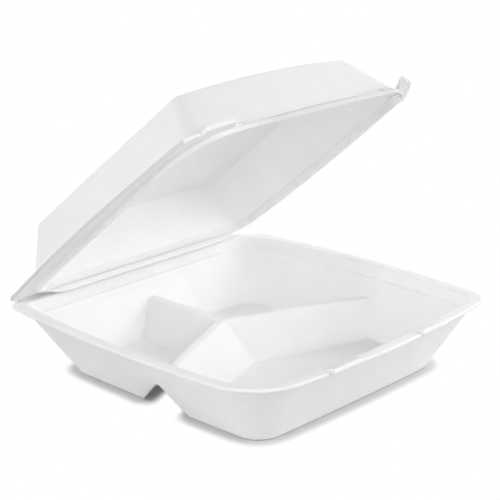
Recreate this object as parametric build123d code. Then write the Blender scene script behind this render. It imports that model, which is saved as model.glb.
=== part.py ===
"""Hinged foam carry-out container: a base with three compartments and a lid, pressed from one foam sheet.

Millimetres, +Z up. The origin lies on the table under the middle of the large foot. The hinge runs along X
at the back (+Y), and the lid stands open as it does while the container is being filled.
"""
from math import atan2, cos, radians, sin, tan
from typing import NamedTuple
import os

from build123d import *

# Foam sheet
sheet = 2.4
edge_round = 0.8

# Rim of the base at its four corners; the three free sides bow outwards between them
rim_width = 210.0
rim_depth = 210.0
side_bow = 6.8
front_bow = 8.0
front_left_radius = 38.0
front_right_radius = 18.0
hinge_left_radius = 6.0
hinge_right_radius = 28.0

# Base: walls that slope in from under the flange to almost straight-sided feet
base_height = 43.5
wall_inset = 4.0
wall_corner_radius = 14.0
foot_side_inset = 25.0
foot_front_inset = 21.5
foot_back_inset = 25.0
foot_bow = 1.0
foot_corner_radius = 16.0
foot_round = 3.0
compartment_round = 3.0

# Steeper band inside the rim, with a small ledge below it
band_depth = 8.0
band_ledge = 0.8
mouth_inset = 7.0
mouth_round = 1.5

# Y-shaped divider, hollow from below; its front flanks spread more at the junction than at the walls
crest_height = 24.5
crest_width = 5.2
crest_round = 2.0
flank_angle = 40.0
junction_y = 25.0
arm_slant = 24.0
front_flank_reach = 32.0
front_flank_slant = 17.5
divider_corner_round = 6.0

# Locking tongues cut in the front rim of the base and raised a little
tongue_spacing = 80.0
tongue_width = 25.0
tongue_root = 6.0
tongue_length = 8.0
tongue_rise = 16.0
tongue_corner = 3.0
slit_width = 1.2

# Lid: bowed flange, sloping walls, and a plug below the flange that drops into the base's mouth
lid_open_angle = 39.0
lid_height = 35.0
lid_front_width = 199.0
lid_side_bow = 6.5
lid_front_inset = 6.0
lid_front_bow = 0.6
lid_corner_radius = 8.0
front_notch_width = 120.0
dome_front_width = 189.0
dome_back_width = 192.0
dome_side_bow = 2.0
dome_front_inset = 10.5
dome_front_bow = 6.5
dome_back_inset = 9.0
dome_left_radius = 10.0
dome_right_radius = 34.0
dome_back_radius = 14.0
plug_depth = 2.5
plug_step = 0.5
plug_draft = 0.5
plug_front_inset = 7.0
plug_front_bow = 3.0
plug_corner_radius = 32.0
top_front_width = 143.0
top_back_width = 162.0
top_side_bow = 0.5
top_front_inset = 29.5
top_front_bow = 7.5
top_back_inset = 20.0
top_front_radius = 6.0
top_back_radius = 15.0
top_round = 3.0

# Lift tab folded up at the lid's front right corner, and the flat pull lip at its front left
tab_x = 94.0
tab_inset = 23.5
tab_turn = 31.0
tab_bend = 36.0
tab_length = 11.0
tab_width = 24.0
tab_corner = 3.0
lip_x = -78.0
lip_width = 22.0
lip_reach = 7.0
lip_turn = -12.0
lip_corner = 6.0

# Crease between base and lid
hinge_gap = 0.3

# The rim's middle lies this far behind the middle of the large foot
rim_setback = 40.0

half_width = rim_width / 2
half_depth = rim_depth / 2
hinge_y = half_depth - hinge_gap / 2
axis_height = base_height + hinge_gap / 2
flange_foot = base_height - sheet
band_foot = base_height - band_depth
lid_floor = hinge_gap / 2
lid_inside = lid_floor + sheet
plug_foot = lid_floor - plug_depth
tolerance = 0.01


class Outline(NamedTuple):
    """Closed outline in plan: three bowed sides, a straight one at the hinge, and four round corners."""
    front_half: float
    back_half: float
    front: float
    back: float
    side_bow: float
    front_bow: float
    front_left: float
    front_right: float
    back_left: float
    back_right: float

    def drawn(self, height):
        """The outline as a face at one height."""
        middle = (self.front + self.back) / 2
        side = (self.front_half + self.back_half) / 2 + self.side_bow
        front_left = (-self.front_half, self.front)
        front_right = (self.front_half, self.front)
        back_left = (-self.back_half, self.back)
        back_right = (self.back_half, self.back)
        with BuildSketch(Plane.XY.offset(height)) as sketch:
            with BuildLine():
                ThreePointArc(back_left, (-side, middle), front_left)
                ThreePointArc(front_left, (0, self.front - self.front_bow), front_right)
                ThreePointArc(front_right, (side, middle), back_right)
                Line(back_right, back_left)
            make_face()
            for corner, radius in zip((front_left, front_right, back_left, back_right), self[6:]):
                fillet(sketch.vertices().sort_by_distance((*corner, height))[0], radius)
        return sketch.sketch

    def inside(self, inset):
        """The outline drawn in by one inset on every side, with its corners kept round."""
        radii = [max(radius - inset, radius / 2) for radius in self[6:]]
        ends = (self.front_half - inset, self.back_half - inset, self.front + inset, self.back - inset)
        return Outline(*ends, self.side_bow, self.front_bow, *radii)

    def towards(self, other, share):
        """The outline part of the way to another one."""
        return Outline(*[mine + (theirs - mine) * share for mine, theirs in zip(self, other)])


rim = Outline(
    half_width, half_width, -half_depth, hinge_y, side_bow, front_bow,
    front_left_radius, front_right_radius, hinge_left_radius, hinge_right_radius,
)
wall_top = Outline(
    half_width - wall_inset, half_width - wall_inset, -half_depth + wall_inset, half_depth - wall_inset,
    side_bow, front_bow, front_left_radius - wall_inset, wall_corner_radius,
    wall_corner_radius, hinge_right_radius - wall_inset,
)
foot = Outline(
    half_width - foot_side_inset, half_width - foot_side_inset, -half_depth + foot_front_inset,
    half_depth - foot_back_inset, foot_bow, foot_bow,
    foot_corner_radius, foot_corner_radius, foot_corner_radius, foot_corner_radius,
)
lid_rim = Outline(
    lid_front_width / 2, half_width, -half_depth + lid_front_inset, hinge_y, lid_side_bow, lid_front_bow,
    lid_corner_radius, lid_corner_radius, hinge_left_radius, hinge_right_radius,
)
dome_foot = Outline(
    dome_front_width / 2, dome_back_width / 2, -half_depth + dome_front_inset, half_depth - dome_back_inset,
    dome_side_bow, dome_front_bow, dome_left_radius, dome_right_radius, dome_back_radius, dome_back_radius,
)
lid_top = Outline(
    top_front_width / 2, top_back_width / 2, -half_depth + top_front_inset, half_depth - top_back_inset,
    top_side_bow, top_front_bow, top_front_radius, top_front_radius, top_back_radius, top_back_radius,
)
plug_top = Outline(
    dome_foot.front_half - plug_step, dome_foot.back_half - plug_step, -half_depth + plug_front_inset,
    dome_foot.back - plug_step, dome_side_bow, plug_front_bow,
    plug_corner_radius, plug_corner_radius, dome_back_radius, dome_back_radius,
)


def flange(outline, height):
    """Flat plate over a whole rim outline, softly rounded at its free edges."""
    plate = extrude(outline.drawn(height), sheet)
    level_edges = plate.edges().filter_by(Plane.XY)
    return fillet([edge for edge in level_edges if edge.center().Y < hinge_y - tolerance], edge_round)


def divider_plan(half, front, slant, height):
    """Y outline at one height: an arm to the hinge and two that slant forward to the sides."""
    lean = tan(radians(arm_slant))
    rear = junction_y + half / cos(radians(arm_slant))
    reach = rim_width
    front_end = front - reach * tan(radians(slant))
    points = [
        (half, junction_y + reach), (-half, junction_y + reach), (-half, rear - half * lean),
        (-reach, rear - reach * lean), (-reach, front_end), (0, front), (reach, front_end),
        (reach, rear - reach * lean), (half, rear - half * lean),
    ]
    with BuildSketch(Plane.XY.offset(height)) as sketch:
        with BuildLine():
            Polyline(*points, close=True)
        make_face()
    return sketch.sketch


def divider(wall, corner_round):
    """Y ridge from the table to its crest, drawn in by a wall all round and rounded where its arms meet."""
    top = crest_height - wall
    flank = radians(flank_angle)
    front_flank = atan2(front_flank_reach, crest_height)
    crest_half = crest_width / 2 - wall / cos(flank) + wall * tan(flank)
    crest_front = junction_y - crest_half / cos(radians(arm_slant))
    foot_front = junction_y - front_flank_reach + wall / cos(front_flank)
    body = loft([
        divider_plan(crest_half + top * tan(flank), foot_front, front_flank_slant, 0),
        divider_plan(crest_half, crest_front, arm_slant, top),
    ])
    climbing = [edge for edge in body.edges() if edge.bounding_box().size.Z > top - tolerance]
    near = [edge for edge in climbing if abs(edge.center().X) < half_width]
    return fillet([edge for edge in near if edge.center().Y < junction_y + half_width], corner_round)


def round_level_edges(body, height, radius):
    """Round the edges of the flat faces that lie at one height."""
    flat = body.faces().filter_by(Plane.XY)
    level = [face for face in flat if abs(face.center().Z - height) < tolerance]
    return fillet([edge for face in level for edge in face.edges()], radius)


def leaf(origin, along, width, length, corner):
    """Flat leaf of sheet that runs along a direction from its origin, with round corners at its end."""
    across = Vector(0, 0, 1).cross(along).normalized()
    with BuildPart() as body:
        with BuildSketch(Plane(origin=origin, x_dir=along, z_dir=along.cross(across))) as sketch:
            Rectangle(length, width, align=(Align.MIN, Align.CENTER))
            fillet(sketch.vertices().sort_by_distance(origin)[2:], corner)
        extrude(amount=sheet / 2, both=True)
    return body.part


def build_base():
    wall_run = sheet / cos(atan2(foot_side_inset - wall_inset, flange_foot))
    pan = loft([foot.drawn(0), wall_top.drawn(flange_foot)])
    pan -= divider(sheet, divider_corner_round + sheet)
    pan = round_level_edges(pan, 0, foot_round)

    floor = foot.towards(wall_top, sheet / flange_foot).inside(wall_run)
    crease = foot.towards(wall_top, band_foot / flange_foot).inside(wall_run)
    cavity = loft([floor.drawn(sheet), crease.drawn(band_foot)])
    cavity -= round_level_edges(divider(0, divider_corner_round), crest_height, crest_round)
    cavity = round_level_edges(cavity, sheet, compartment_round)
    band_ring = crease.inside(-band_ledge)
    mouth = loft([band_ring.drawn(band_foot), rim.inside(mouth_inset).drawn(base_height)])
    body = flange(rim, flange_foot) + pan - mouth - cavity
    rim_top = body.faces().filter_by(Plane.XY).sort_by(Axis.Z)[-1]
    body = fillet(rim_top.inner_wires()[0].edges(), mouth_round)

    rise = radians(tongue_rise)
    outwards = Vector(0, -cos(rise), sin(rise))
    for place in (-tongue_spacing / 2, tongue_spacing / 2):
        edge_y = -half_depth - front_bow * (1 - (place / half_width) ** 2)
        root = Vector(place, edge_y + tongue_root, base_height - sheet / 2)
        slit = Box(slit_width, 2 * tongue_root, 2 * sheet, align=(Align.CENTER, Align.MAX, Align.CENTER))
        body -= Pos(place - (tongue_width + slit_width) / 2, root.Y, base_height) * slit
        body += leaf(root, outwards, tongue_width, tongue_length, tongue_corner)
    return body


def build_lid():
    wall_run = sheet / cos(atan2(dome_foot.front_half - lid_top.front_half, lid_height))
    dome = loft([dome_foot.drawn(lid_floor), lid_top.drawn(lid_height)])
    dome = round_level_edges(dome, lid_height, top_round)
    inside_foot = dome_foot.towards(lid_top, sheet / lid_height).inside(wall_run)
    inside_top = lid_top.inside(sheet / 2)
    hollow = loft([inside_foot.drawn(lid_inside), inside_top.drawn(lid_height - sheet)])
    hollow = round_level_edges(hollow, lid_height - sheet, top_round - sheet / 2)
    plug_bottom = plug_top.inside(plug_draft)
    plug = loft([plug_bottom.drawn(plug_foot), plug_top.drawn(lid_floor)])
    way_in = plug_bottom.inside(sheet)
    way_through = plug_top.inside(sheet)
    plug_hollow = loft([way_in.drawn(plug_foot), way_through.drawn(lid_inside)])

    notch = Box(front_notch_width, half_depth, 4 * sheet, align=(Align.CENTER, Align.MAX, Align.CENTER))
    body = flange(lid_rim, lid_floor) - Pos(0, dome_foot.front + sheet, lid_floor) * notch

    sheet_middle = lid_floor + sheet / 2
    heading = Vector(sin(radians(tab_turn)), -cos(radians(tab_turn)))
    fold = Vector(tab_x, -half_depth + tab_inset, sheet_middle)
    corner = Box(half_depth, rim_width / 2, 4 * sheet, align=(Align.MIN, Align.CENTER, Align.CENTER))
    body -= Plane(origin=fold, x_dir=heading, z_dir=(0, 0, 1)) * corner
    bend = radians(tab_bend)
    body += leaf(fold - heading * tab_corner, heading, tab_width, tab_corner + edge_round, edge_round / 2)
    body += leaf(fold, heading * cos(bend) + Vector(0, 0, sin(bend)), tab_width, tab_length, tab_corner)

    heading = Vector(sin(radians(lip_turn)), -cos(radians(lip_turn)))
    root = Vector(lip_x, lid_rim.front, sheet_middle) - heading * lip_corner
    body += leaf(root, heading, lip_width, lip_corner + lip_reach, lip_corner)

    closed = Pos(0, 0, axis_height) * (body + dome + plug - hollow - plug_hollow)
    return closed.rotate(Axis((0, half_depth, axis_height), (1, 0, 0)), -lid_open_angle)


os.makedirs("parts", exist_ok=True)
for name, body in (("base", build_base()), ("lid", build_lid())):
    export_step(Pos(0, rim_setback, 0) * body, f"parts/{name}.step")
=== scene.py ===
import math

import bmesh
import bpy
from mathutils import Matrix, Vector


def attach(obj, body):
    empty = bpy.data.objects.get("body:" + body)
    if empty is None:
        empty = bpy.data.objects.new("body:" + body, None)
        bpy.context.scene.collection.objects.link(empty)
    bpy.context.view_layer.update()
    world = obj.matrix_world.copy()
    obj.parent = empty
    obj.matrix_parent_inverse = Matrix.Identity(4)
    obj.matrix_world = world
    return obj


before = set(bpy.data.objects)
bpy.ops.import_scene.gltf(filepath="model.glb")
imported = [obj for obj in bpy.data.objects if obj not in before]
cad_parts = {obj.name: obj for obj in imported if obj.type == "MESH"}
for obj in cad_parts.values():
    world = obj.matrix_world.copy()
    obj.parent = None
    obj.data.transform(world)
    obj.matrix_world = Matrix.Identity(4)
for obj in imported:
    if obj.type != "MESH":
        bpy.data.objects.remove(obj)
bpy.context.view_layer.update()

# Base. The lower leaf of the pressed sheet: polystyrene foam, warmed and stamped between two moulds.
# Its skin is smooth and slightly waxy, and the closed cells under it show as a fine, shallow pebble.
foam = bpy.data.materials.new("white_foam")
foam.use_nodes = True
nodes = foam.node_tree.nodes
links = foam.node_tree.links
skin = nodes["Principled BSDF"]
skin.inputs["Subsurface Weight"].default_value = 0.7
skin.inputs["Subsurface Radius"].default_value = (1.0, 1.0, 1.0)
skin.inputs["Subsurface Scale"].default_value = 0.004
skin.inputs["Specular IOR Level"].default_value = 0.35
place = nodes.new("ShaderNodeTexCoord")

cells = nodes.new("ShaderNodeTexVoronoi")
cells.feature = "SMOOTH_F1"
cells.inputs["Scale"].default_value = 750.0
cells.inputs["Smoothness"].default_value = 0.6
links.new(place.outputs["Object"], cells.inputs["Vector"])
swell = nodes.new("ShaderNodeTexNoise")
swell.inputs["Scale"].default_value = 45.0
swell.inputs["Detail"].default_value = 3.0
links.new(place.outputs["Object"], swell.inputs["Vector"])

cell_bump = nodes.new("ShaderNodeBump")
cell_bump.inputs["Strength"].default_value = 0.12
cell_bump.inputs["Distance"].default_value = 0.0004
links.new(cells.outputs["Distance"], cell_bump.inputs["Height"])
swell_bump = nodes.new("ShaderNodeBump")
swell_bump.inputs["Strength"].default_value = 0.16
swell_bump.inputs["Distance"].default_value = 0.0009
links.new(swell.outputs["Fac"], swell_bump.inputs["Height"])
links.new(cell_bump.outputs["Normal"], swell_bump.inputs["Normal"])
links.new(swell_bump.outputs["Normal"], skin.inputs["Normal"])

tint = nodes.new("ShaderNodeValToRGB")
tint.color_ramp.elements[0].position = 0.3
tint.color_ramp.elements[0].color = (0.895, 0.898, 0.902, 1)
tint.color_ramp.elements[1].position = 0.7
tint.color_ramp.elements[1].color = (0.928, 0.928, 0.925, 1)
links.new(swell.outputs["Fac"], tint.inputs["Fac"])
links.new(tint.outputs["Color"], skin.inputs["Base Color"])

sheen = nodes.new("ShaderNodeMapRange")
sheen.inputs["To Min"].default_value = 0.5
sheen.inputs["To Max"].default_value = 0.68
links.new(cells.outputs["Distance"], sheen.inputs["Value"])
links.new(sheen.outputs["Result"], skin.inputs["Roughness"])

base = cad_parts["base"]
base.data.materials.clear()
base.data.materials.append(foam)

# Lid. The upper leaf of the same sheet, with a short step that drops into the base's mouth. It has the base's
# skin and colour, but grey is painted on the edges at its sides, the front of its flange and step, and the
# lift tab, so that they stand out against a white ground. On the front and the tab this grey is painted
# shade; on the side edges it is partly a duller raw edge of the foam and partly painted shade.
fold_y = 0.145
fold_z = 0.04365
open_angle = math.radians(39)
edge_height = 0.00135
edge_half_thickness = 0.00105
edge_side = 0.1
front_edge = 0.2053
front_bow = 0.6
fade_left = -0.08
fade_right = -0.03
tab_turn = math.radians(31)
tab_root = 0.2092
# Grey of the painted shade on the step and flange front and the tab; on the side edges partly a duller raw
# edge.
painted_shade_and_dull_edge_grey = (0.66, 0.66, 0.66, 1)
painted_shade_foam = foam.copy()
painted_shade_foam.name = "foam_painted_shade"
nodes = painted_shade_foam.node_tree.nodes
links = painted_shade_foam.node_tree.links
from_fold = nodes.new("ShaderNodeVectorMath")
from_fold.operation = "SUBTRACT"
from_fold.inputs[1].default_value = (0, fold_y, fold_z)
links.new(nodes["Texture Coordinate"].outputs["Object"], from_fold.inputs[0])


def along(direction):
    node = nodes.new("ShaderNodeVectorMath")
    node.operation = "DOT_PRODUCT"
    node.inputs[1].default_value = direction
    links.new(from_fold.outputs["Vector"], node.inputs[0])
    return node.outputs["Value"]


def reckon(operation, *terms):
    node = nodes.new("ShaderNodeMath")
    node.operation = operation
    for socket, term in zip(node.inputs, terms):
        if isinstance(term, float):
            socket.default_value = term
        else:
            links.new(term, socket)
    return node.outputs["Value"]


forward = Vector((0, -math.cos(open_angle), math.sin(open_angle)))
across = along((1, 0, 0))
reach = along(forward)
rise = along((0, math.sin(open_angle), math.cos(open_angle)))
slant = along(Vector((math.sin(tab_turn), 0, 0)) + forward * math.cos(tab_turn))
bow = reckon("MULTIPLY", reckon("MULTIPLY", across, across), front_bow)
at_front = reckon("GREATER_THAN", reckon("ADD", reach, bow), front_edge)
fade = nodes.new("ShaderNodeMapRange")
fade.interpolation_type = "SMOOTHSTEP"
fade.inputs["From Min"].default_value = fade_left
fade.inputs["From Max"].default_value = fade_right
links.new(across, fade.inputs["Value"])
front = reckon("MULTIPLY", at_front, fade.outputs["Result"])
at_tab = reckon("GREATER_THAN", slant, tab_root)
at_side = reckon("GREATER_THAN", reckon("ABSOLUTE", across), edge_side)
side_edge = reckon("MULTIPLY", at_side, reckon("COMPARE", rise, edge_height, edge_half_thickness))
# Mask of the painted shade: front of flange and step, and the tab; on the side edges partly a duller raw
# edge.
painted_shade_and_dull_edge_mask = reckon("MAXIMUM", reckon("MAXIMUM", front, at_tab), side_edge)
painted_shade_and_dull_edge_tint = nodes.new("ShaderNodeMixRGB")
painted_shade_and_dull_edge_tint.inputs["Color2"].default_value = painted_shade_and_dull_edge_grey
links.new(painted_shade_and_dull_edge_mask, painted_shade_and_dull_edge_tint.inputs["Fac"])
links.new(nodes["Color Ramp"].outputs["Color"], painted_shade_and_dull_edge_tint.inputs["Color1"])
links.new(painted_shade_and_dull_edge_tint.outputs["Color"], nodes["Principled BSDF"].inputs["Base Color"])
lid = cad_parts["lid"]
lid.data.materials.clear()
lid.data.materials.append(painted_shade_foam)

# Crease. The line along the back where the sheet folds, with short dents pressed into it at even steps.
# It is the same foam, made as a round bead on the hinge line that fills the root of the fold at any angle.
crease_left = -0.098
crease_right = 0.078
bead_radius = 0.0021
dent_radius = 0.0017
dent_length = 0.0016
dent_pitch = 0.0068
bead_steps = 16
merge_distance = 1e-7
shape = bmesh.new()
profile = [(crease_left, 0.0), (crease_left, bead_radius)]
dent = crease_left + dent_pitch
while dent + dent_length < crease_right:
    profile.append((dent - dent_length / 2, bead_radius))
    profile.append((dent - dent_length / 4, dent_radius))
    profile.append((dent + dent_length / 4, dent_radius))
    profile.append((dent + dent_length / 2, bead_radius))
    dent += dent_pitch
profile += [(crease_right, bead_radius), (crease_right, 0.0)]
points = [shape.verts.new((x, fold_y, fold_z + radius)) for x, radius in profile]
edges = [shape.edges.new(pair) for pair in zip(points, points[1:])]
bmesh.ops.spin(
    shape, geom=points + edges, cent=(0, fold_y, fold_z), axis=(1, 0, 0), angle=2 * math.pi,
    steps=bead_steps, use_merge=True,
)
bmesh.ops.remove_doubles(shape, verts=shape.verts, dist=merge_distance)
bmesh.ops.recalc_face_normals(shape, faces=shape.faces)
mesh = bpy.data.meshes.new("hinge_crease")
shape.to_mesh(mesh)
shape.free()
mesh.shade_smooth()
crease = bpy.data.objects.new("hinge_crease", mesh)
bpy.context.scene.collection.objects.link(crease)
crease.data.materials.append(foam)
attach(crease, "base")

# Hinge lip. A thin strip of the same foam along the back of the lid's step, which covers the open fold from
# inside. It stands for the sheet that runs on there, and it goes down inside the base when the lid shuts.
lip_inside = 0.0121
lip_outside = 0.0104
lip_top = -0.001
lip_end_depth = 0.0008
lip_depth = 0.0046
lip_half_length = 0.086
lip_run_out = 0.02
lip_stations = 41
lip_middle = Vector((0, fold_y - (lip_inside + lip_outside) / 2, fold_z + lip_top - lip_end_depth / 2))
shape = bmesh.new()
bmesh.ops.create_cube(shape, size=1.0)
lip_size = (2 * lip_half_length, lip_inside - lip_outside, lip_end_depth)
bmesh.ops.scale(shape, vec=lip_size, verts=shape.verts)
bmesh.ops.translate(shape, vec=lip_middle, verts=shape.verts)
lengthwise = [edge for edge in shape.edges if edge.calc_length() > lip_half_length]
bmesh.ops.subdivide_edges(shape, edges=lengthwise, cuts=lip_stations - 2)
for point in shape.verts:
    if point.co.z < lip_middle.z:
        share = min(1.0, (lip_half_length - abs(point.co.x)) / lip_run_out)
        point.co.z -= lip_depth * math.sin(share * math.pi / 2)
lift = Matrix.Rotation(-open_angle, 3, "X")
bmesh.ops.rotate(shape, cent=(0, fold_y, fold_z), matrix=lift, verts=shape.verts)
bmesh.ops.recalc_face_normals(shape, faces=shape.faces)
mesh = bpy.data.meshes.new("hinge_lip")
shape.to_mesh(mesh)
shape.free()
lip = bpy.data.objects.new("hinge_lip", mesh)
bpy.context.scene.collection.objects.link(lip)
lip.data.materials.append(foam)
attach(lip, "lid")

# Floor. A plain white sweep. The camera sees it as pure white where nothing is near it, and as a lit matt
# surface close to the feet, so that the container's shadow stays on it.
floor_half_size = 6.0
floor_mesh = bpy.data.meshes.new("floor")
shape = bmesh.new()
bmesh.ops.create_grid(shape, x_segments=1, y_segments=1, size=floor_half_size)
shape.to_mesh(floor_mesh)
shape.free()
floor = bpy.data.objects.new("floor", floor_mesh)
bpy.context.scene.collection.objects.link(floor)
paper = bpy.data.materials.new("white_floor")
paper.use_nodes = True
nodes = paper.node_tree.nodes
links = paper.node_tree.links
matt = nodes["Principled BSDF"]
matt.inputs["Base Color"].default_value = (0.62, 0.62, 0.62, 1)
matt.inputs["Roughness"].default_value = 0.9
matt.inputs["Specular IOR Level"].default_value = 0.1
white = nodes.new("ShaderNodeEmission")
white.inputs["Strength"].default_value = 1.0
near = nodes.new("ShaderNodeAmbientOcclusion")
near.samples = 16
near.inputs["Distance"].default_value = 0.0095
clear = nodes.new("ShaderNodeMapRange")
clear.interpolation_type = "SMOOTHSTEP"
clear.inputs["From Min"].default_value = 0.4
clear.inputs["From Max"].default_value = 0.9
clear.inputs["To Min"].default_value = 0.08
ray = nodes.new("ShaderNodeLightPath")
seen = nodes.new("ShaderNodeMath")
seen.operation = "MULTIPLY"
sweep = nodes.new("ShaderNodeMixShader")
links.new(near.outputs["AO"], clear.inputs["Value"])
links.new(clear.outputs["Result"], seen.inputs[0])
links.new(ray.outputs["Is Camera Ray"], seen.inputs[1])
links.new(seen.outputs["Value"], sweep.inputs["Fac"])
links.new(matt.outputs["BSDF"], sweep.inputs[1])
links.new(white.outputs["Emission"], sweep.inputs[2])
links.new(sweep.outputs["Shader"], nodes["Material Output"].inputs["Surface"])
floor.data.materials.append(paper)

# Light. A dim white room, brighter towards the horizon, with large soft lamps all round; those behind the
# container also shine through its thin foam.
world = bpy.data.worlds.new("room")
bpy.context.scene.world = world
world.use_nodes = True
nodes = world.node_tree.nodes
links = world.node_tree.links
room = nodes["Background"]
way = nodes.new("ShaderNodeTexCoord")
height = nodes.new("ShaderNodeSeparateXYZ")
horizon = nodes.new("ShaderNodeMapRange")
horizon.interpolation_type = "SMOOTHSTEP"
horizon.inputs["From Min"].default_value = 0.1
horizon.inputs["From Max"].default_value = 0.6
horizon.inputs["To Min"].default_value = 0.28
horizon.inputs["To Max"].default_value = 0.04
links.new(way.outputs["Generated"], height.inputs["Vector"])
links.new(height.outputs["Z"], horizon.inputs["Value"])
links.new(horizon.outputs["Result"], room.inputs["Strength"])
white = nodes.new("ShaderNodeBackground")
ray = nodes.new("ShaderNodeLightPath")
seen = nodes.new("ShaderNodeMixShader")
room.inputs["Color"].default_value = (1, 1, 1, 1)
white.inputs["Color"].default_value = (1, 1, 1, 1)
white.inputs["Strength"].default_value = 1.0
links.new(ray.outputs["Is Camera Ray"], seen.inputs["Fac"])
links.new(room.outputs["Background"], seen.inputs[1])
links.new(white.outputs["Background"], seen.inputs[2])
links.new(seen.outputs["Shader"], nodes["World Output"].inputs["Surface"])

aim = Vector((0, 0.04, 0.06))
lamp_size = 0.9
for name, spot, power in (
    ("front_lamp", (0.1, -1.25, 0.95), 9.2),
    ("left_lamp", (-1.1, 0.1, 1.0), 5.8),
    ("right_lamp", (1.2, -0.4, 0.8), 6.5),
    ("back_right_lamp", (1.0, 1.0, 0.7), 5.4),
    ("low_left_lamp", (-1.5, -0.1, 0.3), 9.4),
    ("low_right_lamp", (1.1, -1.1, 0.3), 9.8),
    ("low_front_lamp", (-1.0, -1.1, 0.2), 1.8),
    ("low_back_lamp", (0.3, 1.5, 0.35), 7.5),
):
    lamp = bpy.data.lights.new(name, "AREA")
    lamp.size = lamp_size
    lamp.energy = power
    holder = bpy.data.objects.new(name, lamp)
    holder.location = spot
    holder.rotation_euler = (aim - Vector(spot)).to_track_quat("-Z", "Y").to_euler()
    bpy.context.scene.collection.objects.link(holder)

# Camera. A long lens at the container's front left corner, a little above the open lid's hinge.
camera_aim = Vector((0, 0.04, 0.04))
camera_turn = math.radians(-46.24)
camera_rise = math.radians(20.27)
camera_roll = math.radians(-0.49)
camera_reach = 0.8802
back = Vector((
    math.sin(camera_turn) * math.cos(camera_rise),
    -math.cos(camera_turn) * math.cos(camera_rise),
    math.sin(camera_rise),
))
view = bpy.data.cameras.new("camera")
view.lens = 102.235
view.sensor_width = 36.0
view.shift_y = 0.1111
view.clip_end = 20.0
camera = bpy.data.objects.new("camera", view)
camera.location = camera_aim + back * camera_reach
camera.rotation_mode = "QUATERNION"
upright = (-back).to_track_quat("-Z", "Y")
camera.rotation_quaternion = upright @ Matrix.Rotation(camera_roll, 3, "Z").to_quaternion()
bpy.context.scene.collection.objects.link(camera)
bpy.context.scene.camera = camera

bpy.context.scene.view_settings.view_transform = "Standard"
